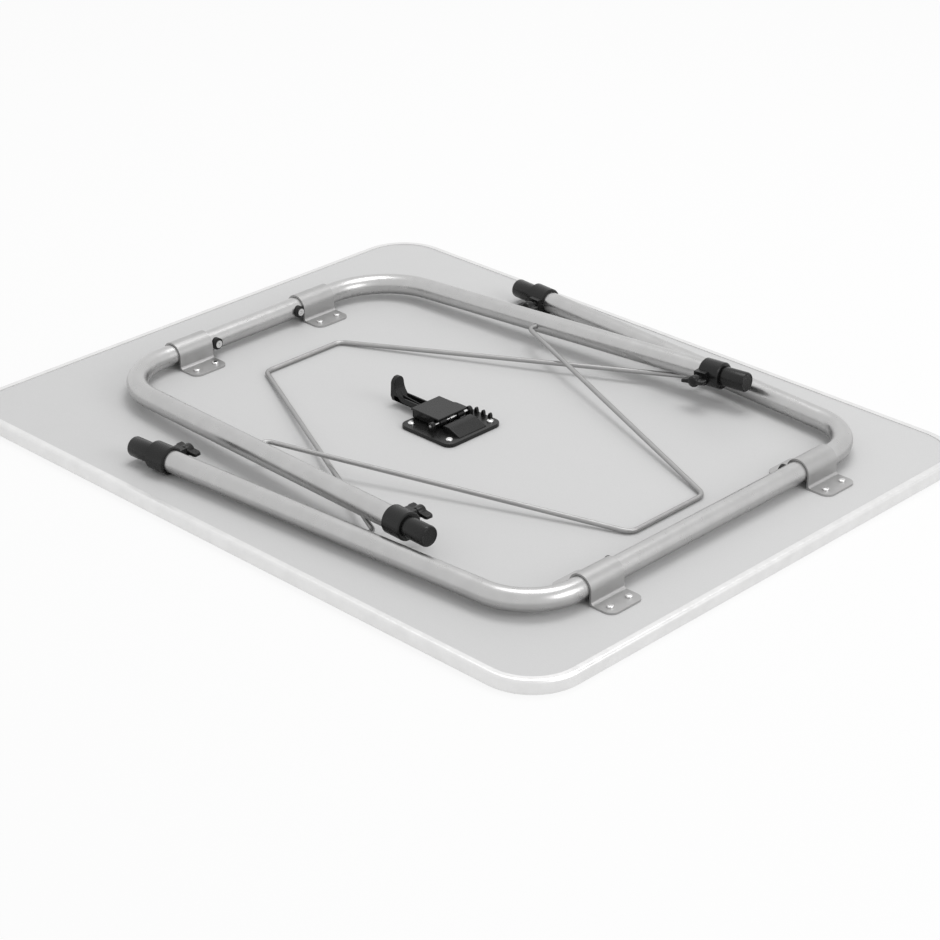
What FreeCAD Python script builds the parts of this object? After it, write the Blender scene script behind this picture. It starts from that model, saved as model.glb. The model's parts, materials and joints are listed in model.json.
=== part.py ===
"""Folding camping table lying on its work surface, with both leg frames folded flat on the underside.

Frame: +X along the table's length, +Z up out of the underside, origin at the middle of the work surface.
Millimetres and degrees.
"""

import FreeCAD, Part
import math
import os
import Sketcher
from FreeCAD import Placement, Rotation, Vector

SIZES = {
    # table top
    "table_length": 800,
    "table_width": 635,
    "corner_radius": 55,
    "board_thickness": 14.2,
    "trim_width": 8,
    "trim_height": 15,
    "trim_rounding": 3.5,
    # leg frames
    "tube_od": 22,
    "tube_wall": 1.2,
    "hinge_height": 14.5,
    "splay": 4,
    "arm_length": 456,
    "left_hinge_inset": 91,
    "left_half_span": 190,
    "left_bend_radius": 75,
    "left_tilt": 2,
    "right_hinge_inset": 78,
    "right_half_span": 236,
    "right_bend_radius": 58,
    "right_tilt": 0,
    # saddle clamps over the cross tubes
    "clamp_length": 44,
    "clamp_sheet": 2,
    "clamp_clearance": 0.3,
    "clamp_flange_reach": 38,
    "clamp_corner_radius": 9,
    "clamp_bend_radius": 3,
    "clamp_screw_spacing": 25,
    "clamp_screw_offset": 27,
    "left_clamp_offset": 87,
    "right_clamp_offset": 154,
    # wood screws of the clamps and the latch
    "screw_head_radius": 3.6,
    "screw_head_height": 2.2,
    "screw_head_rounding": 1.5,
    "screw_shank_radius": 2,
    "screw_depth": 9,
    "screw_clearance": 0.05,
    # stop screws that keep each cross tube from sliding in its clamps
    "stop_washer_radius": 6.2,
    "stop_washer_height": 3.2,
    "stop_head_radius": 4,
    "stop_head_height": 1.6,
    "stop_socket_radius": 1.4,
    "stop_shank_radius": 2.2,
    "stop_shank_depth": 5,
    "stop_gap": 0.6,
    # clamp collars and sliding feet
    "collar_od": 28,
    "collar_length": 24,
    "collar_lap": 12,
    "collar_rounding": 1.2,
    "slide_clearance": 0.3,
    "inner_tube_od": 18.6,
    "inner_tube_wall": 1.2,
    "inner_tube_length": 190,
    "foot_reach": 28,
    "foot_plug_length": 20,
    "foot_rounding": 2.2,
    "boss_width": 13,
    "boss_reach": 19,
    # wing screws
    "bolt_radius": 3,
    "bolt_clearance": 0.06,
    "bolt_stand_off": 3,
    "hub_radius": 6,
    "hub_height": 10,
    "wing_span": 27,
    "wing_thickness": 4,
    "wing_height": 8,
    "wing_rounding": 1.5,
    # wire stays
    "stay_radius": 2.5,
    "stay_bend_radius": 12,
    "stay_pin_bend_radius": 8,
    "stay_half_bar": 52,
    "stay_floor_gap": 0.3,
    "stay_pin_clearance": 0.3,
    "stay_pin_inside": 4,
    "stay_pin_outside": 10,
    "left_stay_pivot": 234,
    "left_stay_length": 350,
    "right_stay_pivot": 205,
    "right_stay_length": 345,
    # latch in the middle of the underside
    "latch_x": -4,
    "latch_y": -6,
    "latch_length": 73,
    "latch_width": 78,
    "latch_plate": 4,
    "latch_corner_radius": 8,
    "latch_screw_inset": 10,
    "pin_radius": 1.6,
    "pin_height": 9.5,
    "pin_length": 58,
    "pin_clearance": 0.08,
    "lug_thickness": 5,
    "lug_width": 9,
    "lug_gap": 0.5,
    "lever_cover_length": 32,
    "lever_cover_width": 43,
    "lever_cover_top": 15,
    "lever_wall": 3,
    "lever_lift": 0.5,
    "hook_width": 18,
    "hook_reach": 82,
    "hook_floor": 6,
    "hook_wall_top": 12.5,
    "hook_height": 31,
    "hook_thickness": 6,
    "hook_sweep": 9,
    "housing_length": 22,
    "housing_width": 40,
    "housing_height": 9,
    "housing_slope": 7,
    "housing_gap": 3.5,
    "rib_thickness": 2.2,
    "rib_pitch": 5.5,
    "rib_height": 11,
    "rib_length": 8,
    "spring_wire_radius": 0.6,
    "spring_turns": 4,
    "spring_gap": 0.25,
}
LEG_SIDES = ("left", "right")
ARMS = {"near": -1, "far": 1}
X_AXIS = Vector(1, 0, 0)
Y_AXIS = Vector(0, 1, 0)
Z_AXIS = Vector(0, 0, 1)

doc = FreeCAD.newDocument("folding_table")
sheet = doc.addObject("Spreadsheet::Sheet", "Sizes")
for row, (alias, number) in enumerate(SIZES.items(), start=1):
    sheet.set(f"A{row}", alias)
    sheet.set(f"B{row}", str(number))
    sheet.setAlias(f"B{row}", alias)
doc.recompute()

sub_parts = []


def value(expression):
    """Number that an expression over the sheet's cells gives."""
    return float(sheet.evalExpression(expression))


def cells(expression):
    """The same expression as another object reads it, with each cell named through the sheet."""
    words = [f"Sizes.{word}" if word in SIZES else word for word in expression.split()]
    return " ".join(words)


def bind(item, **expressions):
    for name, expression in expressions.items():
        item.setExpression(name, cells(expression))


def sub_part(label, item, place=None):
    """Registers a finished piece under the name of its file."""
    if place is not None:
        item.Placement = place
    item.Label = label
    sub_parts.append(item)
    return item


def at(x=0.0, y=0.0, z=0.0, turn=None):
    return Placement(Vector(x, y, z), turn or Rotation())


def along(axis):
    """Turns +Z onto an axis."""
    return Rotation(Z_AXIS, axis)


def cylinder(name, radius, height, place=None):
    item = doc.addObject("Part::Cylinder", name)
    bind(item, Radius=radius, Height=height)
    item.Placement = place or Placement()
    return item


def box(name, length, width, height, place=None):
    """A block whose base is centred on the place in X and Y."""
    item = doc.addObject("Part::Box", name)
    bind(item, Length=length, Width=width, Height=height)
    centre = at(-value(length) / 2, -value(width) / 2)
    item.Placement = (place or Placement()) * centre
    return item


def cut(name, base, tool):
    item = doc.addObject("Part::Cut", name)
    item.Base = base
    item.Tool = tool
    return item


def fuse(name, pieces):
    item = doc.addObject("Part::MultiFuse", name)
    item.Shapes = pieces
    return item


def group(name, pieces):
    item = doc.addObject("Part::Compound", name)
    item.Links = pieces
    return item


def origin_plane(body, role):
    return next(plane for plane in body.Origin.OriginFeatures if plane.Role == role)


def new_sketch(body, name, role):
    sketch = body.newObject("Sketcher::SketchObject", name)
    sketch.AttachmentSupport = [(origin_plane(body, role), "")]
    sketch.MapMode = "FlatFace"
    return sketch


def dimension(sketch, name, expression, *constraint):
    """Adds a named sketch dimension and ties it to the sheet."""
    index = sketch.addConstraint(Sketcher.Constraint(*constraint, value(expression)))
    sketch.renameConstraint(index, name)
    sketch.setExpression(f"Constraints.{name}", cells(expression))


def draw_loop(sketch, points):
    """Closed run of straight lines, joined end to end."""
    count = len(points)
    for i, point in enumerate(points):
        end = points[(i + 1) % count]
        sketch.addGeometry(Part.LineSegment(Vector(*point, 0), Vector(*end, 0)))
    for i in range(count):
        sketch.addConstraint(Sketcher.Constraint("Coincident", i, 2, (i + 1) % count, 1))


def rectangle(sketch, length, width):
    """Rectangle centred on the sketch's origin."""
    x, y = value(length) / 2, value(width) / 2
    draw_loop(sketch, [(-x, -y), (x, -y), (x, y), (-x, y)])
    for line in (0, 2):
        sketch.addConstraint(Sketcher.Constraint("Horizontal", line))
    for line in (1, 3):
        sketch.addConstraint(Sketcher.Constraint("Vertical", line))
    sketch.addConstraint(Sketcher.Constraint("Symmetric", 0, 1, 1, 2, -1, 1))
    dimension(sketch, "length", length, "DistanceX", 0, 1, 0, 2)
    dimension(sketch, "width", width, "DistanceY", 1, 1, 1, 2)


def pad(body, sketch, length, midplane=False):
    feature = body.newObject("PartDesign::Pad", f"{body.Name}_pad")
    feature.Profile = sketch
    feature.Midplane = midplane
    bind(feature, Length=length)
    doc.recompute()
    return feature


def fillet(body, base, name, radius, chosen):
    """Rounds the edges of a feature that pass a test."""
    names = [f"Edge{i}" for i, edge in enumerate(base.Shape.Edges, start=1) if chosen(edge)]
    feature = body.newObject("PartDesign::Fillet", name)
    feature.Base = (base, names)
    bind(feature, Radius=radius)
    doc.recompute()
    return feature


def is_upright(edge):
    start, end = edge.Vertexes[0].Point, edge.Vertexes[-1].Point
    return abs(start.z - end.z) > 0.9 * edge.Length


def plate(name, length, width, height, corner):
    """Rounded rectangular plate standing on Z = 0."""
    body = doc.addObject("PartDesign::Body", name)
    sketch = new_sketch(body, f"{name}_outline", "XY_Plane")
    rectangle(sketch, length, width)
    slab = pad(body, sketch, height)
    fillet(body, slab, f"{name}_corners", corner, is_upright)
    return body


def bent_bar(name, corners, bends, start_x, radius):
    """Round bar, bent in the XY plane and mirrored about XZ.

    It leaves the point (start_x, 0) along +Y, passes the corners with bends of the given radii, and ends
    at the last corner.
    """
    body = doc.addObject("PartDesign::Body", name)
    path = new_sketch(body, f"{name}_path", "XY_Plane")
    points = [Vector(start_x, 0, 0)] + [Vector(x, y, 0) for x, y in corners]
    here = points[0]
    for i, bend in enumerate(bends, start=1):
        bend_radius = value(bend)
        back = (points[i - 1] - points[i]).normalize()
        ahead = (points[i + 1] - points[i]).normalize()
        half = back.getAngle(ahead) / 2
        start = points[i] + back * (bend_radius / math.tan(half))
        end = points[i] + ahead * (bend_radius / math.tan(half))
        middle = points[i] + (back + ahead).normalize() * (bend_radius / math.sin(half) - bend_radius)
        path.addGeometry(Part.LineSegment(here, start))
        arc = path.addGeometry(Part.Arc(start, middle, end))
        dimension(path, f"bend_{i}", bend, "Radius", arc)
        here = end
    path.addGeometry(Part.LineSegment(here, points[-1]))
    section = new_sketch(body, f"{name}_section", "XZ_Plane")
    circle = section.addGeometry(Part.Circle(Vector(start_x, 0, 0), Z_AXIS, value(radius)))
    dimension(section, "radius", radius, "Radius", circle)
    doc.recompute()
    pipe = body.newObject("PartDesign::AdditivePipe", f"{name}_pipe")
    pipe.Profile = section
    pipe.Spine = (path, [f"Edge{i}" for i in range(1, path.GeometryCount + 1)])
    doc.recompute()
    mirror = body.newObject("PartDesign::Mirrored", f"{name}_mirror")
    mirror.Originals = [pipe]
    mirror.MirrorPlane = (origin_plane(body, "XZ_Plane"), [""])
    body.Tip = mirror
    doc.recompute()
    return body


# Places that several pieces share

underside = value("board_thickness")
hinge_z = value("board_thickness + hinge_height")
hinge_x = {
    "left": value("left_hinge_inset - table_length / 2"),
    "right": value("table_length / 2 - right_hinge_inset"),
}
splay = value("splay")
leg_place = {
    "left": at(hinge_x["left"], 0, hinge_z, Rotation(Y_AXIS, -value("left_tilt"))),
    "right": at(hinge_x["right"], 0, hinge_z, Rotation(Z_AXIS, 180) * Rotation(Y_AXIS, -value("right_tilt"))),
}


def arm_place(side, arm):
    """Frame of one leg: origin on the cross tube, +X down the leg, +Y towards the middle of the table."""
    sign = ARMS[arm] if side == "left" else -ARMS[arm]
    corner = at(0, sign * value(f"{side}_half_span"), 0, Rotation(Z_AXIS, sign * splay))
    inward = Rotation(X_AXIS, 180) if sign > 0 else Rotation()
    return leg_place[side] * corner * at(turn=inward)


def clamp_spots():
    """Every saddle clamp: its name, its place on the cross tube's line and its side."""
    for side in LEG_SIDES:
        for arm, sign in ARMS.items():
            y = sign * value(f"{side}_clamp_offset")
            yield f"{side}_{arm}_clamp", Vector(hinge_x[side], y, underside), side


def clamp_screw_spots():
    dx, dy = value("clamp_screw_offset"), value("clamp_screw_spacing / 2")
    for _, centre, _ in clamp_spots():
        for x in (-dx, dx):
            for y in (-dy, dy):
                yield centre + Vector(x, y, value("clamp_sheet"))


def latch_screw_spots():
    x = value("latch_length / 2 - latch_screw_inset")
    y = value("latch_width / 2 - latch_screw_inset")
    for dx in (-x, x):
        for dy in (-y, y):
            yield Vector(value("latch_x") + dx, value("latch_y") + dy, underside + value("latch_plate"))


# Table top

def screw(name, seat):
    """Round-headed wood screw whose head sits on the given point, driven down."""
    down = along(Vector(0, 0, -1))
    head = cylinder(f"{name}_head", "screw_head_radius", "screw_head_height", at(*seat))
    shank = cylinder(f"{name}_shank", "screw_shank_radius", "screw_depth", at(*seat, down))
    dome = doc.addObject("Part::Fillet", f"{name}_dome")
    dome.Base = head
    doc.recompute()
    top = max(range(len(head.Shape.Edges)), key=lambda i: head.Shape.Edges[i].CenterOfMass.z)
    rounding = value("screw_head_rounding")
    dome.Edges = [(top + 1, rounding, rounding)]
    return fuse(name, [dome, shank])


def screw_hole(name, seat):
    down = along(Vector(0, 0, -1))
    return cylinder(name, "screw_shank_radius + screw_clearance", "screw_depth + screw_clearance",
                    at(*seat, down))


clamp_screws = [screw(f"clamp_screw_{i}", seat) for i, seat in enumerate(clamp_screw_spots())]
latch_screws = [screw(f"latch_screw_{i}", seat) for i, seat in enumerate(latch_screw_spots())]
all_seats = list(clamp_screw_spots()) + list(latch_screw_spots())
screw_holes = group("screw_holes", [screw_hole(f"screw_hole_{i}", seat) for i, seat in enumerate(all_seats)])

board = plate("board_blank", "table_length - 2 * trim_width", "table_width - 2 * trim_width",
              "board_thickness", "corner_radius - trim_width")
sub_part("table_board", cut("board", board, screw_holes))

trim_blank = plate("trim_blank", "table_length", "table_width", "trim_height", "corner_radius")
doc.recompute()
trim_corners = trim_blank.Tip
trim_blank.Tip = fillet(trim_blank, trim_corners, "trim_edges", "trim_rounding",
                        lambda edge: not is_upright(edge))
trim_opening = plate("trim_opening", "table_length - 2 * trim_width", "table_width - 2 * trim_width",
                     "trim_height", "corner_radius - trim_width")
sub_part("edge_trim", cut("trim", trim_blank, trim_opening))


# Saddle clamps

def saddle_clamp(name):
    """Pressed strap, open below, with a flange on each side. The cross tube turns in it along Y."""
    body = doc.addObject("PartDesign::Body", name)
    sketch = new_sketch(body, f"{name}_profile", "XZ_Plane")
    reach, sheet_metal = value("clamp_flange_reach"), value("clamp_sheet")
    inner, middle = value("tube_od / 2 + clamp_clearance"), value("hinge_height")
    outer = inner + sheet_metal

    def line(x0, y0, x1, y1):
        return sketch.addGeometry(Part.LineSegment(Vector(x0, y0, 0), Vector(x1, y1, 0)))

    def arch(radius):
        circle = Part.Circle(Vector(0, middle, 0), Z_AXIS, radius)
        return sketch.addGeometry(Part.ArcOfCircle(circle, 0, math.pi))

    line(-reach, 0, -inner, 0)
    line(-inner, 0, -inner, middle)
    inner_arch = arch(inner)
    line(inner, middle, inner, 0)
    line(inner, 0, reach, 0)
    line(reach, 0, reach, sheet_metal)
    line(reach, sheet_metal, outer, sheet_metal)
    line(outer, sheet_metal, outer, middle)
    outer_arch = arch(outer)
    line(-outer, middle, -outer, sheet_metal)
    line(-outer, sheet_metal, -reach, sheet_metal)
    line(-reach, sheet_metal, -reach, 0)
    dimension(sketch, "inner_radius", "tube_od / 2 + clamp_clearance", "Radius", inner_arch)
    dimension(sketch, "outer_radius", "tube_od / 2 + clamp_clearance + clamp_sheet", "Radius", outer_arch)
    strap = pad(body, sketch, "clamp_length", midplane=True)

    def flange_corner(edge):
        return is_upright(edge) and abs(abs(edge.CenterOfMass.x) - reach) < 0.01

    def inside_bend(edge):
        centre = edge.CenterOfMass
        return abs(abs(centre.x) - outer) < 0.01 and abs(centre.z - sheet_metal) < 0.01

    rounded = fillet(body, strap, f"{name}_corners", "clamp_corner_radius", flange_corner)
    fillet(body, rounded, f"{name}_bends", "clamp_bend_radius", inside_bend)
    dx, dy = value("clamp_screw_offset"), value("clamp_screw_spacing / 2")
    holes = [cylinder(f"{name}_hole_{i}", "screw_shank_radius + screw_clearance", "clamp_sheet", at(x, y))
             for i, (x, y) in enumerate([(-dx, -dy), (dx, -dy), (dx, dy), (-dx, dy)])]
    return cut(f"{name}_drilled", body, group(f"{name}_holes", holes))


for clamp_name, clamp_centre, _ in clamp_spots():
    sub_part(clamp_name, saddle_clamp(f"{clamp_name}_strap"), at(*clamp_centre))
sub_part("clamp_screws", group("clamp_screw_set", clamp_screws))


# Leg frames

def stay_pivot(side):
    """Where the stay's pin line crosses the leg frame's own plane: distance from the hinge and half span."""
    reach = value(f"{side}_stay_pivot")
    turn = math.radians(splay)
    return reach * math.cos(turn), value(f"{side}_half_span") + reach * math.sin(turn)


def stop_spots(side):
    """Stop screws beside the inner ends of the clamps, along the cross tube."""
    y = value(f"{side}_clamp_offset - clamp_length / 2 - stop_gap - stop_washer_radius")
    return (-y, y)


def leg_frame(side):
    """U of round tube: the cross tube lies on Y and the legs leave it along +X, a little splayed."""
    half_span, length = value(f"{side}_half_span"), value("arm_length")
    turn = math.radians(splay)
    tip = (length * math.cos(turn), half_span + length * math.sin(turn))
    line, bend = [(0, half_span), tip], [f"{side}_bend_radius"]
    tube = cut(f"{side}_tube", bent_bar(f"{side}_tube_outside", line, bend, 0, "tube_od / 2"),
               bent_bar(f"{side}_tube_inside", line, bend, 0, "tube_od / 2 - tube_wall"))
    x, y = stay_pivot(side)
    holes = []
    for sign in (-1, 1):
        inwards = along(Vector(0, -sign, 0))
        holes.append(cylinder(f"{side}_pin_hole_{sign + 1}", "stay_radius + stay_pin_clearance",
                              "tube_od", at(x, sign * y, 0, inwards)))
    for i, spot in enumerate(stop_spots(side)):
        holes.append(cylinder(f"{side}_stop_hole_{i}", "stop_shank_radius + screw_clearance", "tube_od",
                              at(0, spot, 0, along(X_AXIS))))
    return cut(f"{side}_frame", tube, group(f"{side}_frame_holes", holes))


def stop_washers(side):
    """Moulded washers whose underside is hollowed to sit on the tube."""
    tube = cylinder(f"{side}_washer_seat", "tube_od / 2", f"2 * {side}_half_span",
                    at(0, -value(f"{side}_half_span"), 0, along(Y_AXIS)))
    rings = []
    for i, spot in enumerate(stop_spots(side)):
        place = at(0, spot, 0, along(X_AXIS))
        disc = cylinder(f"{side}_washer_{i}", "stop_washer_radius", "tube_od / 2 + stop_washer_height", place)
        hole = cylinder(f"{side}_washer_hole_{i}", "stop_shank_radius + screw_clearance",
                        "tube_od / 2 + stop_washer_height", place)
        rings.append(cut(f"{side}_washer_ring_{i}", cut(f"{side}_washer_saddle_{i}", disc, tube), hole))
    return group(f"{side}_washers", rings)


def stop_screws(side):
    """Socket button screws through the washers into the tube."""
    screws = []
    for i, spot in enumerate(stop_spots(side)):
        seat = at(value("tube_od / 2 + stop_washer_height"), spot, 0, along(X_AXIS))
        deep = at(value("tube_od / 2 - stop_shank_depth"), spot, 0, along(X_AXIS))
        head = cylinder(f"{side}_stop_head_{i}", "stop_head_radius", "stop_head_height", seat)
        shank = cylinder(f"{side}_stop_shank_{i}", "stop_shank_radius",
                         "stop_shank_depth + stop_washer_height", deep)
        socket = cylinder(f"{side}_stop_socket_{i}", "stop_socket_radius", "stop_head_height", seat)
        screws.append(cut(f"{side}_stop_screw_{i}", fuse(f"{side}_stop_blank_{i}", [head, shank]), socket))
    return group(f"{side}_stops", screws)


def wire_stay(side):
    """Bent round wire: pins in both legs, two converging arms and a cross bar. Its pins lie on Y."""
    _, half_span = stay_pivot(side)
    wall = value("tube_od / 2")
    pin_end = half_span - wall + value("stay_pin_inside")
    elbow = half_span - wall - value("stay_pin_outside")
    reach = value(f"{side}_stay_length")
    corners = [(reach, value("stay_half_bar")), (0, elbow), (0, pin_end)]
    return bent_bar(f"{side}_wire", corners, ["stay_bend_radius", "stay_pin_bend_radius"], reach, "stay_radius")


def stay_place(side):
    """The stay leans down from its pivot until its cross bar lies just above the board."""
    x, _ = stay_pivot(side)
    tilt = value(f"{side}_tilt")
    bar_height = value("stay_radius + stay_floor_gap")
    drop = value("hinge_height") + x * math.sin(math.radians(tilt)) - bar_height
    lean = math.degrees(math.asin(drop / value(f"{side}_stay_length")))
    return leg_place[side] * at(x, 0, 0, Rotation(Y_AXIS, lean + tilt))


for leg_side in LEG_SIDES:
    sub_part(f"{leg_side}_leg_frame", leg_frame(leg_side), leg_place[leg_side])
    sub_part(f"{leg_side}_stop_washers", stop_washers(leg_side), leg_place[leg_side])
    sub_part(f"{leg_side}_stop_screws", stop_screws(leg_side), leg_place[leg_side])
    sub_part(f"{leg_side}_wire_stay", wire_stay(leg_side), stay_place(leg_side))


# Clamp collars, wing screws and sliding feet, each in the frame of its own leg

def ring_section(name, outline):
    """Solid of revolution about +X from a closed outline of (x, radius) points."""
    body = doc.addObject("PartDesign::Body", name)
    sketch = new_sketch(body, f"{name}_section", "XY_Plane")
    draw_loop(sketch, outline)
    turned = body.newObject("PartDesign::Revolution", f"{name}_turned")
    turned.Profile = sketch
    turned.ReferenceAxis = (sketch, ["H_Axis"])
    doc.recompute()
    return body


def collar(name):
    """Split clamp collar: it grips the tube's end, guides the inner tube and carries the wing screw's boss."""
    start = value("arm_length - collar_lap")
    end = start + value("collar_length")
    grip, outer = value("tube_od / 2"), value("collar_od / 2")
    guide = value("inner_tube_od / 2 + slide_clearance")
    edge = value("collar_rounding")
    tube_end = value("arm_length")
    ring = ring_section(f"{name}_ring", [
        (start, grip), (tube_end, grip), (tube_end, guide), (end, guide), (end, outer - edge),
        (end - edge, outer), (start + edge, outer), (start, outer - edge)])
    boss_x = start + value("boss_width / 2")
    boss = box(f"{name}_boss", "boss_width", "boss_width", "boss_reach", at(boss_x, 0, 0, along(Y_AXIS)))
    bore = cylinder(f"{name}_bore", "tube_od / 2", "arm_length + collar_length", at(turn=along(X_AXIS)))
    thread = cylinder(f"{name}_thread", "bolt_radius + bolt_clearance", "boss_reach",
                      at(boss_x, 0, 0, along(Y_AXIS)))
    body = fuse(f"{name}_body", [ring, cut(f"{name}_lug", boss, bore)])
    return cut(f"{name}_tapped", body, thread)


def wing_bolt(name):
    """Steel bolt of the wing screw. Its tip stops just short of the leg's tube."""
    x = value("arm_length - collar_lap + boss_width / 2")
    tip = value("tube_od / 2 + slide_clearance")
    length = "boss_reach + bolt_stand_off + hub_height / 2 - tube_od / 2 - slide_clearance"
    return cylinder(name, "bolt_radius", length, at(x, tip, 0, along(Y_AXIS)))


def wing_knob(name):
    """Moulded hub with two wings, set askew as on a wing nut."""
    x = value("arm_length - collar_lap + boss_width / 2")
    seat = at(x, value("boss_reach + bolt_stand_off"), 0, along(Y_AXIS))
    hub = cylinder(f"{name}_hub", "hub_radius", "hub_height", seat)
    wing = plate(f"{name}_wing", "wing_span", "wing_thickness", "wing_height", "wing_rounding")
    wing.Placement = seat * at(0, 0, value("hub_height - wing_height"))
    socket = cylinder(f"{name}_socket", "bolt_radius", "hub_height / 2", seat)
    return cut(f"{name}_moulding", fuse(f"{name}_blank", [hub, wing]), socket)


def inner_tube(name):
    """Height adjusting tube that slides in the leg."""
    tip = value("arm_length - collar_lap + collar_length")
    start = tip - value("inner_tube_length")
    outer = value("inner_tube_od / 2")
    inner = outer - value("inner_tube_wall")
    return ring_section(name, [(start, inner), (tip, inner), (tip, outer), (start, outer)])


def foot_cap(name):
    """Moulded foot: a plug inside the inner tube and a rounded end outside."""
    seat = value("arm_length - collar_lap + collar_length")
    end = seat + value("foot_reach")
    plug = value("inner_tube_od / 2 - inner_tube_wall")
    outer, edge = value("inner_tube_od / 2"), value("foot_rounding")
    return ring_section(name, [(seat - value("foot_plug_length"), 0), (end, 0), (end, outer - edge),
                               (end - edge, outer), (seat, outer), (seat, plug),
                               (seat - value("foot_plug_length"), plug)])


for leg_side in LEG_SIDES:
    for arm_name in ARMS:
        leg = f"{leg_side}_{arm_name}"
        place = arm_place(leg_side, arm_name)
        sub_part(f"{leg}_collar", collar(f"{leg}_clamp_collar"), place)
        sub_part(f"{leg}_inner_tube", inner_tube(f"{leg}_slide"), place)
        sub_part(f"{leg}_foot", foot_cap(f"{leg}_cap"), place)
        sub_part(f"{leg}_wing_knob", wing_knob(f"{leg}_knob"), place)
        bolt = wing_bolt(f"{leg}_bolt_shank")
        sub_part(f"{leg}_wing_bolt", bolt, place * bolt.Placement)


# Latch

latch_place = at(value("latch_x"), value("latch_y"), underside)


def latch_base():
    """Screwed plate with the two lugs of the hinge pin and the ribbed spring housing."""
    blank = plate("latch_blank", "latch_length", "latch_width", "latch_plate", "latch_corner_radius")
    lug_y = value("pin_length / 2 - lug_thickness / 2")
    lugs = []
    for i, sign in enumerate((-1, 1)):
        lugs.append(box(f"latch_lug_{i}", "lug_width", "lug_thickness", "pin_height + lug_width / 2",
                        at(0, sign * lug_y)))
    housing = spring_housing()
    ribs = []
    first = value("housing_gap + lug_width / 2 + rib_length / 2")
    for i in range(3):
        spot = at(first + value("rib_length"), value("housing_width / 2 + rib_pitch") - i * value("rib_pitch"))
        ribs.append(box(f"latch_rib_{i}", "rib_length", "rib_thickness", "rib_height", spot))
    pin_bore = cylinder("latch_pin_bore", "pin_radius + pin_clearance", "pin_length",
                        at(0, -value("pin_length / 2"), value("pin_height"), along(Y_AXIS)))
    seats = [at(seat.x - value("latch_x"), seat.y - value("latch_y")) for seat in latch_screw_spots()]
    holes = [cylinder(f"latch_hole_{i}", "screw_shank_radius + screw_clearance", "latch_plate", seat)
             for i, seat in enumerate(seats)]
    solid = fuse("latch_moulding", [blank, *lugs, housing, *ribs])
    return cut("latch_base_drilled", solid, group("latch_bores", [pin_bore, *holes]))


def spring_housing():
    """Hump with sloping ends, beside the hinge pin."""
    body = doc.addObject("PartDesign::Body", "latch_housing")
    sketch = new_sketch(body, "latch_housing_profile", "XZ_Plane")
    start = value("housing_gap + lug_width / 2")
    end = start + value("housing_length")
    slope, top = value("housing_slope"), value("housing_height")
    draw_loop(sketch, [(start, 0), (end, 0), (end - slope, top), (start, top)])
    pad(body, sketch, "housing_width", midplane=True)
    return body


def latch_lever():
    """Sprung lever: a cover over the pin and, at its free end, a channel that turns up into a finger hook."""
    wall = value("lever_wall")
    top, low = value("lever_cover_top"), value("latch_plate + lever_lift")
    cover_end = -value("lever_cover_length")
    cover_x = cover_end / 2
    cover = box("lever_cover", "lever_cover_length", "lever_cover_width",
                "lever_cover_top - latch_plate - lever_lift", at(cover_x, 0, low))
    hollow = box("lever_hollow", "lever_cover_length - lever_wall", "lever_cover_width - 2 * lever_wall",
                 "lever_cover_top - latch_plate - lever_lift - lever_wall",
                 at(cover_x + wall / 2, 0, low))
    barrel_length = "pin_length - 2 * lug_thickness - 2 * lug_gap"
    barrel = cylinder("lever_barrel", "pin_radius + lever_wall", barrel_length,
                      at(0, -value(barrel_length) / 2, value("pin_height"), along(Y_AXIS)))
    spring_room = cylinder("lever_spring_room", "pin_radius + lever_wall + lug_gap", "lever_cover_width / 4",
                           at(0, -value("lever_cover_width / 8"), value("pin_height"), along(Y_AXIS)))
    pin_bore = cylinder("lever_pin_bore", "pin_radius + pin_clearance", "pin_length",
                        at(0, -value("pin_length / 2"), value("pin_height"), along(Y_AXIS)))
    shell = cut("lever_shell", cover, hollow)
    solid = fuse("lever_moulding", [shell, barrel, finger_hook()])
    return cut("lever_bored", solid, group("lever_bores", [pin_bore, spring_room]))


def finger_hook():
    """Channel with a swept-up tongue at its end. Drawn from the side and hollowed from above."""
    body = doc.addObject("PartDesign::Body", "lever_hook")
    sketch = new_sketch(body, "lever_hook_profile", "XZ_Plane")
    floor, rim, tip = value("hook_floor"), value("hook_wall_top"), value("hook_height")
    end, root = -value("hook_reach"), -value("lever_cover_length - lever_wall")
    thick, sweep = value("hook_thickness"), value("hook_sweep")
    draw_loop(sketch, [(root, floor), (end, floor), (end, tip), (end + thick * 0.7, tip),
                       (end + thick, rim + sweep), (end + thick + sweep, rim), (root, rim)])
    block = pad(body, sketch, "hook_width", midplane=True)
    fillet(body, block, "lever_hook_edges", "hook_thickness / 4",
           lambda edge: abs(edge.CenterOfMass.x - end) < 0.5 and not is_upright(edge))
    wall = value("lever_wall")
    inside = end + thick + wall
    length = root - wall - inside
    trough = doc.addObject("Part::Box", "lever_trough")
    bind(trough, Width="hook_width - 2 * lever_wall", Height="hook_height")
    trough.Length = length
    trough.Placement = at(inside, -value("hook_width / 2 - lever_wall"), floor + wall)
    return cut("lever_channel", body, trough)


def torsion_spring():
    """Coil of steel wire round the pin, in the gap at the middle of the lever's barrel."""
    wire = value("spring_wire_radius")
    radius = value("pin_radius + spring_gap + spring_wire_radius")
    pitch = value("2 * spring_wire_radius + spring_gap")
    length = pitch * value("spring_turns")
    path = Part.Wire(Part.makeHelix(pitch, length, radius))
    section = Part.Wire(Part.makeCircle(wire, Vector(radius, 0, 0), Y_AXIS))
    coil = doc.addObject("Part::Feature", "latch_coil")
    coil.Shape = path.makePipeShell([section], True, True)
    return coil, at(0, -length / 2, value("pin_height"), along(Y_AXIS))


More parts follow.
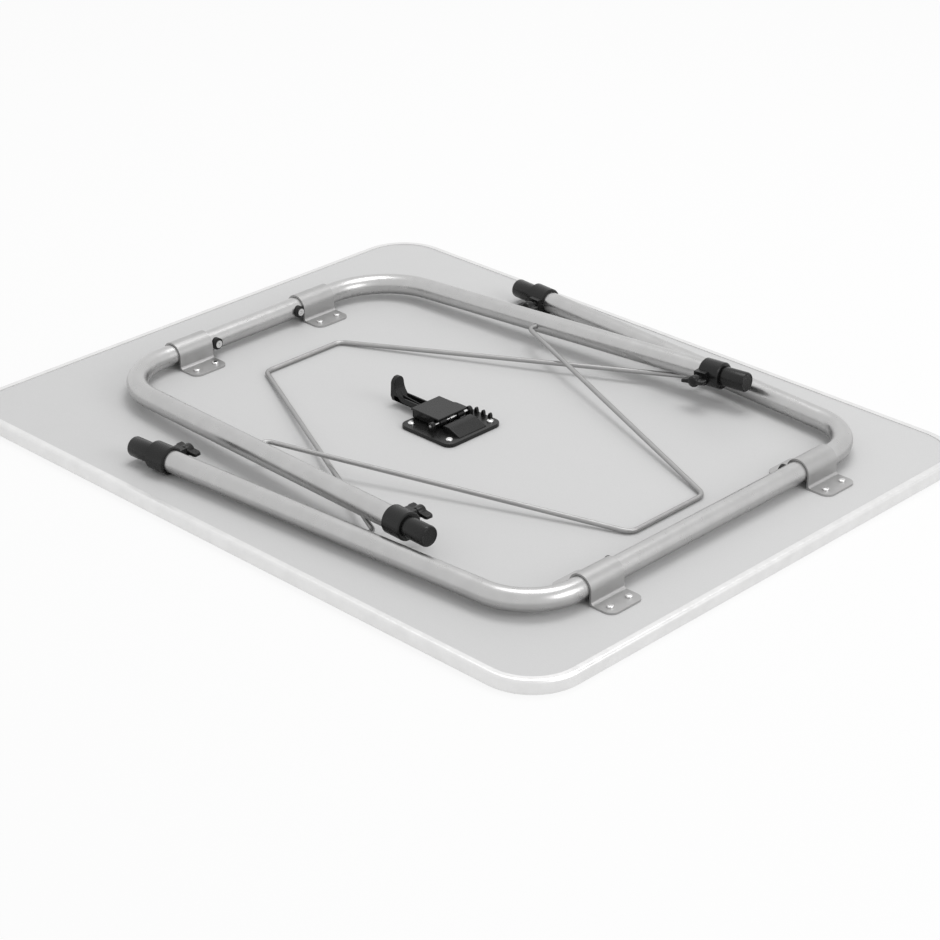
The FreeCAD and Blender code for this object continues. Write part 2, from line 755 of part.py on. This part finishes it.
sub_part("latch_base", latch_base(), latch_place)
sub_part("latch_lever", latch_lever(), latch_place)
latch_pin = cylinder("latch_pin_rod", "pin_radius", "pin_length",
                     at(0, -value("pin_length / 2"), value("pin_height"), along(Y_AXIS)))
sub_part("latch_pin", latch_pin, latch_place * latch_pin.Placement)
spring, spring_place = torsion_spring()
sub_part("latch_spring", spring, latch_place * spring_place)
sub_part("latch_screws", group("latch_screw_set", latch_screws))

doc.recompute()
os.makedirs("parts", exist_ok=True)
failed = [item.Name for item in doc.Objects if "Invalid" in item.State or "Error" in item.State]
broken = [item.Label for item in sub_parts if item.Shape.isNull() or not item.Shape.isValid()]
if failed or broken:
    raise RuntimeError(f"features failed: {failed}; sub-parts without a valid solid: {broken}")
for item in sub_parts:
    item.Shape.exportStep(os.path.join("parts", f"{item.Label}.step"))
    print(f"{item.Label}: {len(item.Shape.Solids)} solid(s), {item.Shape.Volume:.0f} mm3")
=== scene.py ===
"""Looks of the folding camping table: finishes, rounder mouldings, floor, light and camera."""

import json
import math

import bmesh
import bpy
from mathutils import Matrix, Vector


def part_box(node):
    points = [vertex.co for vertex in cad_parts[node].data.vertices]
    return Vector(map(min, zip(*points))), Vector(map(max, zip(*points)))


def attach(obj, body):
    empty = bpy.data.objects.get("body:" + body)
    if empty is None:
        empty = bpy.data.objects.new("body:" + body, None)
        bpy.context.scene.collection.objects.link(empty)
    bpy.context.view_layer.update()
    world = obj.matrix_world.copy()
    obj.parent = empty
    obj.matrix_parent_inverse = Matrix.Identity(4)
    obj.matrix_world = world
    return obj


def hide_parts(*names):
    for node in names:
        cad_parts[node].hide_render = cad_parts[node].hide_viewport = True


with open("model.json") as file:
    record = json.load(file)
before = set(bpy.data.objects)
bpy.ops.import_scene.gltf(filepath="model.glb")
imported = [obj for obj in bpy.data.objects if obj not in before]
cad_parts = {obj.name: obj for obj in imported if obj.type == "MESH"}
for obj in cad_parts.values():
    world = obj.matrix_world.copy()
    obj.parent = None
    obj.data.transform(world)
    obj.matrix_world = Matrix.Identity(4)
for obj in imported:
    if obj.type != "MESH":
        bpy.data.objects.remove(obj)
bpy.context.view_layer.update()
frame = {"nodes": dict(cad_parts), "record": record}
nodes = frame["nodes"]
scene = bpy.context.scene
scene.view_settings.view_transform = "Standard"


# Materials

# A noise stays mostly between these two levels
NOISE_LOW = 0.3
NOISE_HIGH = 0.7
METAL_WARMTH = 0.002
PLASTIC_SHEEN = 0.3


class Shader:
    """A material with a principled shader and short ways to add procedural detail."""

    def __init__(self, name, color, roughness, metallic=0.0):
        self.material = bpy.data.materials.new(name)
        self.material.use_nodes = True
        self.tree = self.material.node_tree
        self.main = self.tree.nodes["Principled BSDF"]
        self.main.inputs["Base Color"].default_value = (*color, 1.0)
        self.main.inputs["Roughness"].default_value = roughness
        self.main.inputs["Metallic"].default_value = metallic
        self.place = self.add("ShaderNodeTexCoord").outputs["Object"]

    def add(self, kind):
        return self.tree.nodes.new(kind)

    def link(self, source, target):
        self.tree.links.new(source, target)

    def noise(self, scale, detail=3.0):
        """Noise in metres of the table's own frame."""
        texture = self.add("ShaderNodeTexNoise")
        texture.inputs["Scale"].default_value = scale
        texture.inputs["Detail"].default_value = detail
        self.link(self.place, texture.inputs["Vector"])
        return texture.outputs["Fac"]

    def spread(self, source, low, high):
        """Maps the usual levels of a noise to a range of values."""
        node = self.add("ShaderNodeMapRange")
        node.inputs["From Min"].default_value = NOISE_LOW
        node.inputs["From Max"].default_value = NOISE_HIGH
        node.inputs["To Min"].default_value = low
        node.inputs["To Max"].default_value = high
        self.link(source, node.inputs["Value"])
        return node.outputs["Result"]

    def vary_roughness(self, source, low, high):
        self.link(self.spread(source, low, high), self.main.inputs["Roughness"])

    def vary_color(self, source, dark, light):
        node = self.add("ShaderNodeMix")
        node.data_type = "RGBA"
        node.inputs["A"].default_value = (*dark, 1.0)
        node.inputs["B"].default_value = (*light, 1.0)
        self.link(self.spread(source, 0.0, 1.0), node.inputs["Factor"])
        self.link(node.outputs["Result"], self.main.inputs["Base Color"])

    def bump(self, source, height):
        node = self.add("ShaderNodeBump")
        node.inputs["Strength"].default_value = 1.0
        node.inputs["Distance"].default_value = height
        self.link(source, node.inputs["Height"])
        self.link(node.outputs["Normal"], self.main.inputs["Normal"])


def grey(level, warmth=0.0):
    return (level + warmth, level, level - warmth)


def laminate():
    """Matt pale laminate with a faint grain."""
    shader = Shader("laminate", grey(0.64), roughness=0.55)
    shader.vary_color(shader.noise(scale=900.0, detail=4.0), dark=grey(0.625), light=grey(0.65))
    shader.vary_roughness(shader.noise(scale=35.0), low=0.5, high=0.6)
    shader.bump(shader.noise(scale=1600.0, detail=2.0), height=0.00003)
    return shader.material


def satin_metal(name, level, roughness, metallic=1.0):
    """Brushed or lacquered metal whose gloss varies a little along the piece."""
    shader = Shader(name, grey(level, METAL_WARMTH), roughness, metallic)
    dark = grey(level * 0.96, METAL_WARMTH)
    light = grey(level * 1.03, METAL_WARMTH)
    shader.vary_color(shader.noise(scale=60.0), dark, light)
    shader.vary_roughness(shader.noise(scale=140.0), low=roughness * 0.88, high=roughness * 1.12)
    shader.bump(shader.noise(scale=2200.0, detail=2.0), height=0.00001)
    return shader.material


def moulded_plastic(name, level, roughness):
    """Black moulding with a fine spark-eroded grain."""
    shader = Shader(name, grey(level), roughness)
    shader.main.inputs["Specular IOR Level"].default_value = PLASTIC_SHEEN
    shader.vary_color(shader.noise(scale=80.0), dark=grey(level * 0.85), light=grey(level * 1.2))
    shader.vary_roughness(shader.noise(scale=420.0), low=roughness * 0.9, high=roughness * 1.15)
    shader.bump(shader.noise(scale=2600.0, detail=2.0), height=0.00002)
    return shader.material


finishes = {
    "board": laminate(),
    "trim": satin_metal("anodised_edge", level=0.77, roughness=0.34),
    "leg_tube": satin_metal("lacquered_tube", level=0.5, roughness=0.3, metallic=0.95),
    "inner_tube": satin_metal("bare_tube", level=0.66, roughness=0.28),
    "clamp_metal": satin_metal("pressed_clamp", level=0.43, roughness=0.4, metallic=0.85),
    "bright_steel": satin_metal("zinc_plated_steel", level=0.72, roughness=0.2),
    "black_plastic": moulded_plastic("black_moulding", level=0.009, roughness=0.27),
    "black_rubber": moulded_plastic("black_rubber", level=0.01, roughness=0.55),
    "stay_wire": satin_metal("stay_wire", level=0.38, roughness=0.4, metallic=0.85),
}
for sub_part in frame["record"]["subparts"]:
    piece = nodes[sub_part["node"]]
    piece.data.materials.clear()
    piece.data.materials.append(finishes[sub_part["material_slot"]])


# Mouldings with rounder forms than their solids, in millimetres from a point along three axes

MM = 0.001
ROUND_STEPS = 40
CORNER_STEPS = 8
ARCH_STEPS = 12
EDGE_SEGMENTS = 3
SHARP_EDGE = math.radians(35)
UPRIGHT = (Vector((1, 0, 0)), Vector((0, 1, 0)), Vector((0, 0, 1)))
slot_of = {sub_part["node"]: sub_part["material_slot"] for sub_part in frame["record"]["subparts"]}
body_of = {node: body for body, held in frame["record"]["behaviour"]["bodies"].items() for node in held}
joint_of = {joint["name"]: joint for joint in frame["record"]["behaviour"]["joints"]}


class Moulding:
    """A mesh of closed shapes. Points are given along its three axes from its centre."""

    def __init__(self, centre, axes):
        self.centre = centre
        self.axes = axes
        self.shape = bmesh.new()

    def point(self, *along):
        return self.centre + sum((axis * (length * MM) for axis, length in zip(self.axes, along)), Vector())

    def ring(self, spots):
        return [self.shape.verts.new(self.point(*spot)) for spot in spots]

    def skin(self, one, two):
        """Faces between two rings with equally many points."""
        for i, vertex in enumerate(one):
            self.shape.faces.new((one[i - 1], vertex, two[i], two[i - 1]))

    def loft(self, sections):
        """Skin over a row of sections, closed at both ends."""
        rings = [self.ring(section) for section in sections]
        for one, two in zip(rings, rings[1:]):
            self.skin(one, two)
        self.shape.faces.new(rings[0])
        self.shape.faces.new(rings[-1])

    def block(self, low, high):
        x0, y0, z0 = low
        x1, y1, z1 = high
        self.loft([[(x, y0, z0), (x, y1, z0), (x, y1, z1), (x, y0, z1)] for x in (x0, x1)])

    def slab(self, outline, near, far):
        """Outline in the first and third axes, drawn out along the second."""
        self.loft([[(x, y, z) for x, z in outline] for y in (near, far)])

    def turned(self, profile):
        """Round piece about the first axis, from (place along it, radius) pairs."""
        angles = [math.tau * i / ROUND_STEPS for i in range(ROUND_STEPS)]
        self.loft([[(place, radius * math.cos(a), radius * math.sin(a)) for a in angles]
                   for place, radius in profile])

    def sleeve(self, low, high, bore, outer):
        """Bored cylinder about the second axis."""
        profile = ((low, bore), (high, bore), (high, outer), (low, outer))
        rings = []
        for i in range(ROUND_STEPS):
            angle = math.tau * i / ROUND_STEPS
            rings.append(self.ring([(radius * math.cos(angle), place, radius * math.sin(angle))
                                    for place, radius in profile]))
        for i, two in enumerate(rings):
            self.skin(rings[i - 1], two)

    def finish(self, node, edge):
        """Object that rides with the node's body and stands for the node, with its edges rounded."""
        bmesh.ops.recalc_face_normals(self.shape, faces=self.shape.faces)
        mesh = bpy.data.meshes.new(f"{node}_moulding")
        self.shape.to_mesh(mesh)
        self.shape.free()
        mesh.shade_smooth()
        piece = bpy.data.objects.new(f"{node}_moulding", mesh)
        scene.collection.objects.link(piece)
        mesh.materials.append(finishes[slot_of[node]])
        rounding = piece.modifiers.new("rounded_edges", "BEVEL")
        rounding.width = edge * MM
        rounding.segments = EDGE_SEGMENTS
        rounding.limit_method = "ANGLE"
        rounding.angle_limit = SHARP_EDGE
        rounding.harden_normals = True
        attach(piece, body_of[node])
        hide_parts(node)


def middle(node):
    low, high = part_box(node)
    return (low + high) / 2


def span_along(node, start, axis):
    """How far a node reaches along an axis from a point, in millimetres."""
    places = [(vertex.co - start).dot(axis) / MM for vertex in nodes[node].data.vertices]
    return min(places), max(places)


def rounded_rectangle(half_x, half_y, radius, height):
    """Outline of a plate at a height, with quarter rounds at its corners."""
    outline = []
    for quarter in range(4):
        side_x = half_x - radius if quarter in (0, 3) else radius - half_x
        side_y = half_y - radius if quarter in (0, 1) else radius - half_y
        for step in range(CORNER_STEPS + 1):
            angle = math.pi / 2 * (quarter + step / CORNER_STEPS)
            outline.append((side_x + radius * math.cos(angle), side_y + radius * math.sin(angle), height))
    return outline


def arch(half_width, foot, spring):
    """Outline of an upright plate with a round top that starts at a height, as (across, height) pairs."""
    angles = [math.pi * i / ARCH_STEPS for i in range(ARCH_STEPS + 1)]
    top = [(half_width * math.cos(a), spring + half_width * math.sin(a)) for a in angles]
    return [(half_width, foot), *top, (-half_width, foot)]


def latch_base():
    """Plate with two round-topped lugs for the pin, the sloping spring housing and a row of three teeth."""
    low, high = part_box("latch_base")
    base = Moulding(Vector(((low.x + high.x) / 2, (low.y + high.y) / 2, low.z)), UPRIGHT)
    half_length = 35.5
    half_width = 38
    corner = 9
    top = 4.0
    base.loft([rounded_rectangle(half_length, half_width, corner, height) for height in (0, top)])

    # What stands on the plate starts a little inside it
    root = top - 0.5
    pin_height = 9.5
    lug_round = 3.8
    lug_inner = 24
    lug_outer = 28.2
    lug = arch(lug_round, root, pin_height)
    base.slab(lug, -lug_outer, -lug_inner)
    base.slab(lug, lug_inner, lug_outer)

    back = 7.5
    front = 31
    crest = 10.2
    housing_half = 19
    housing = [(back, root), (back, 9.4), (8.6, crest), (16.5, crest), (18, 9.6)]
    housing += [(front, 4.6), (front, root)]
    base.slab(housing, -housing_half, housing_half)

    # A tooth's half width at three heights
    taper = ((root, 2.2), (7.5, 1.9), (9.8, 0.9))
    tooth_places = (2, 11.5, 21)
    near = 33
    far = 36.5
    for x in tooth_places:
        base.loft([[(x - half, near, z), (x + half, near, z), (x + half, far, z), (x - half, far, z)]
                   for z, half in taper])
    base.finish("latch_base", edge=0.6)


def lever_cover(lever):
    """Hollow cover over the spring, with a knuckle on the pin at each side."""
    rear = -36
    front = 3
    half = 20
    under = 3.4
    top = 5.5
    lever.block((rear, -half, under), (front, half, top))

    # Walls under the cover, set in from its edges
    wall_foot = -4.6
    wall_top = 3.6
    wall_inner = 17
    wall_outer = 19
    rear_wall_outer = -35
    rear_wall_inner = -33
    lever.block((rear_wall_outer, -wall_outer, wall_foot), (rear_wall_inner, wall_outer, wall_top))
    side_start = -33.2
    side_end = -4.5
    knuckle_inner = 8
    knuckle_bore = 1.75
    knuckle_round = 3.7
    for sign in (-1, 1):
        low, high = sorted((sign * wall_inner, sign * wall_outer))
        lever.block((side_start, low, wall_foot), (side_end, high, wall_top))
        low, high = sorted((sign * knuckle_inner, sign * wall_inner))
        lever.sleeve(low, high, knuckle_bore, knuckle_round)


def lever_tongue(lever):
    """Channel with a middle rib that sweeps up into a round-topped finger tongue at its end."""
    end = -79.0
    half = 7.0
    floor = -3.5
    rim = 3.0
    tip = 21.5
    start = end + 5
    cover = -34
    wall = 2
    lever.block((start, -half, floor), (cover, half, floor + wall))
    for low, high in ((-half, -half + wall), (half - wall, half)):
        lever.block((start, low, floor), (cover, high, rim))
    rib_half = 0.9
    rib_end = end + 40
    rib = [(start, rim + 8), (end + 12, rim), (rib_end, rim - 2.5), (rib_end, floor), (start, floor)]
    lever.slab(rib, -rib_half, rib_half)

    steps = 24
    narrowest = 1.5
    lean_at_tip = 1.2
    heel_round = 2.5
    heel_rate = 6
    thin = 5.0
    sweep = 15.0
    tongue = []
    for i in range(steps + 1):
        share = i / steps
        height = floor + (tip - floor) * share
        above = max(0.0, height - (tip - half))
        width = max(narrowest, math.sqrt(half * half - above * above))
        lean = lean_at_tip * share
        outer = end + lean + heel_round * max(0.0, 1 - share * heel_rate)
        inner = end + lean + thin + sweep * max(0.0, 1 - share) ** 3
        tongue.append([(outer, -width, height), (outer, width, height),
                       (inner, width, height), (inner, -width, height)])
    lever.loft(tongue)


def latch_lever():
    lever = Moulding(middle("latch_pin"), UPRIGHT)
    lever_cover(lever)
    lever_tongue(lever)
    lever.finish("latch_lever", edge=0.7)


def sliding_foot(leg):
    """Foot cap with a plug in the inner tube, no wider than passes over the other leg frame."""
    axis = Vector(joint_of[f"{leg}_foot_slide"]["axis"])
    across = axis.orthogonal().normalized()
    node = f"{leg}_foot"
    start = middle(node)
    _, end = span_along(node, start, axis)
    foot = Moulding(start, (axis, across, axis.cross(across)))
    plug_start = end - 46
    plug_radius = 8.0
    cap_start = end - 27.7
    cap_radius = 10.2
    profile = [(plug_start, plug_radius), (cap_start, plug_radius), (cap_start, 10.0), (end - 2, cap_radius)]
    profile += [(end - 0.6, 9.7), (end, 9.0), (end, 8.0), (end - 0.4, 7.6)]
    foot.turned(profile)
    foot.finish(node, edge=0.3)


# Sections of a wing from the hub outwards: reach, foot and top along the knob's axis, thickness
WING = ((2, 0.5, 9, 6.0), (5.5, 0.5, 9.3, 4.4), (8.5, 0.8, 9.8, 3.7),
        (10.8, 1.2, 10, 3.9), (12.8, 2.2, 9.6, 3.2), (13.7, 4, 8.8, 2))
WING_CURL = 0.01


def wing_knob(leg):
    """Domed hub with two thick wings that curl opposite ways."""
    turn = joint_of[f"{leg}_knob_turn"]
    node = f"{leg}_wing_knob"
    axis = Vector(turn["axis"])
    along = Vector(joint_of[f"{leg}_foot_slide"]["axis"])
    along = (along - axis * along.dot(axis)).normalized()
    start = Vector(turn["pos_m"])
    low, high = span_along(node, start, axis)
    knob = Moulding(start + axis * (low * MM), (axis, along, axis.cross(along)))
    top = high - low
    hub = [(0, 5.2), (top - 3, 6.2), (top - 1.2, 5.6), (top - 0.3, 4.0), (top, 2.0)]
    knob.turned(hub)
    for sign in (-1, 1):
        sections = []
        for reach, foot, height, thickness in WING:
            curl = sign * WING_CURL * reach * reach
            one = curl - thickness / 2
            two = curl + thickness / 2
            out = sign * reach
            sections.append([(foot, out, one), (height, out, one), (height, out, two), (foot, out, two)])
        knob.loft(sections)
    knob.finish(node, edge=0.6)


latch_base()
latch_lever()
for leg_name in ("left_near", "left_far", "right_near", "right_far"):
    sliding_foot(leg_name)
    wing_knob(leg_name)


# Floor and light

WHITE = (1.0, 1.0, 1.0, 1.0)
FLOOR_LEVEL = 0.9
FLOOR_SIZE = 60.0
FLOOR_WHITE_SHARE = 0.85
AMBIENT_STRENGTH = 0.62
WHITE_STRENGTH = 1.0
SOFTBOX_WIDTH = 1.6
SOFTBOX_HEIGHT = 1.2


def seen_rays(tree):
    """One for rays that show the white background: from the camera, off metal, through clear pieces."""
    path = tree.nodes.new("ShaderNodeLightPath")
    rays = path.outputs["Is Camera Ray"]
    for kind in ("Is Glossy Ray", "Is Transmission Ray"):
        either = tree.nodes.new("ShaderNodeMath")
        either.operation = "MAXIMUM"
        tree.links.new(rays, either.inputs[0])
        tree.links.new(path.outputs[kind], either.inputs[1])
        rays = either.outputs["Value"]
    return rays


def floor_material():
    """Pale floor. The camera sees it mostly as plain white, and the rest shows the table's shadow."""
    material = bpy.data.materials.new("studio_floor")
    material.use_nodes = True
    tree = material.node_tree
    tree.nodes.clear()
    diffuse = tree.nodes.new("ShaderNodeBsdfDiffuse")
    diffuse.inputs["Color"].default_value = (*grey(FLOOR_LEVEL), 1.0)
    white = tree.nodes.new("ShaderNodeEmission")
    mix = tree.nodes.new("ShaderNodeMixShader")
    seen = tree.nodes.new("ShaderNodeMath")
    seen.operation = "MULTIPLY"
    seen.inputs[1].default_value = FLOOR_WHITE_SHARE
    output = tree.nodes.new("ShaderNodeOutputMaterial")
    tree.links.new(seen_rays(tree), seen.inputs[0])
    tree.links.new(seen.outputs["Value"], mix.inputs["Fac"])
    tree.links.new(diffuse.outputs["BSDF"], mix.inputs[1])
    tree.links.new(white.outputs["Emission"], mix.inputs[2])
    tree.links.new(mix.outputs["Shader"], output.inputs["Surface"])
    return material


def build_floor():
    bpy.ops.mesh.primitive_plane_add(size=FLOOR_SIZE, location=(0.0, 0.0, 0.0))
    floor = bpy.context.object
    floor.name = "floor"
    floor.data.materials.append(floor_material())


def build_world():
    """Soft ambient light. The camera and reflections see white."""
    world = bpy.data.worlds.new("studio")
    scene.world = world
    world.use_nodes = True
    tree = world.node_tree
    tree.nodes.clear()
    ambient = tree.nodes.new("ShaderNodeBackground")
    ambient.inputs["Color"].default_value = WHITE
    ambient.inputs["Strength"].default_value = AMBIENT_STRENGTH
    white = tree.nodes.new("ShaderNodeBackground")
    white.inputs["Color"].default_value = WHITE
    white.inputs["Strength"].default_value = WHITE_STRENGTH
    mix = tree.nodes.new("ShaderNodeMixShader")
    output = tree.nodes.new("ShaderNodeOutputWorld")
    tree.links.new(seen_rays(tree), mix.inputs["Fac"])
    tree.links.new(ambient.outputs["Background"], mix.inputs[1])
    tree.links.new(white.outputs["Background"], mix.inputs[2])
    tree.links.new(mix.outputs["Shader"], output.inputs["Surface"])


def aim(item, target):
    direction = Vector(target) - item.location
    item.rotation_mode = "QUATERNION"
    item.rotation_quaternion = direction.to_track_quat("-Z", "Y")


def softbox(name, place, watts):
    """Soft lamp aimed at the middle of the table."""
    light = bpy.data.lights.new(name, "AREA")
    light.shape = "RECTANGLE"
    light.size = SOFTBOX_WIDTH
    light.size_y = SOFTBOX_HEIGHT
    light.energy = watts
    lamp = bpy.data.objects.new(name, light)
    scene.collection.objects.link(lamp)
    lamp.location = place
    aim(lamp, (0.0, 0.0, 0.0))


build_floor()
build_world()
softbox("overhead", place=(-0.2, 0.7, 2.6), watts=24.0)
softbox("side", place=(2.4, 0.4, 1.3), watts=16.0)


# Camera at the photograph's viewing angle

CAMERA_PLACE = (1.6311, -1.6599, 1.1563)
CAMERA_TARGET = (0.07693, -0.06175, 0.0146)


def build_camera():
    data = bpy.data.cameras.new("camera")
    data.sensor_width = 36.0
    data.lens = 99.69
    camera = bpy.data.objects.new("camera", data)
    scene.collection.objects.link(camera)
    camera.location = CAMERA_PLACE
    aim(camera, CAMERA_TARGET)
    scene.camera = camera


build_camera()
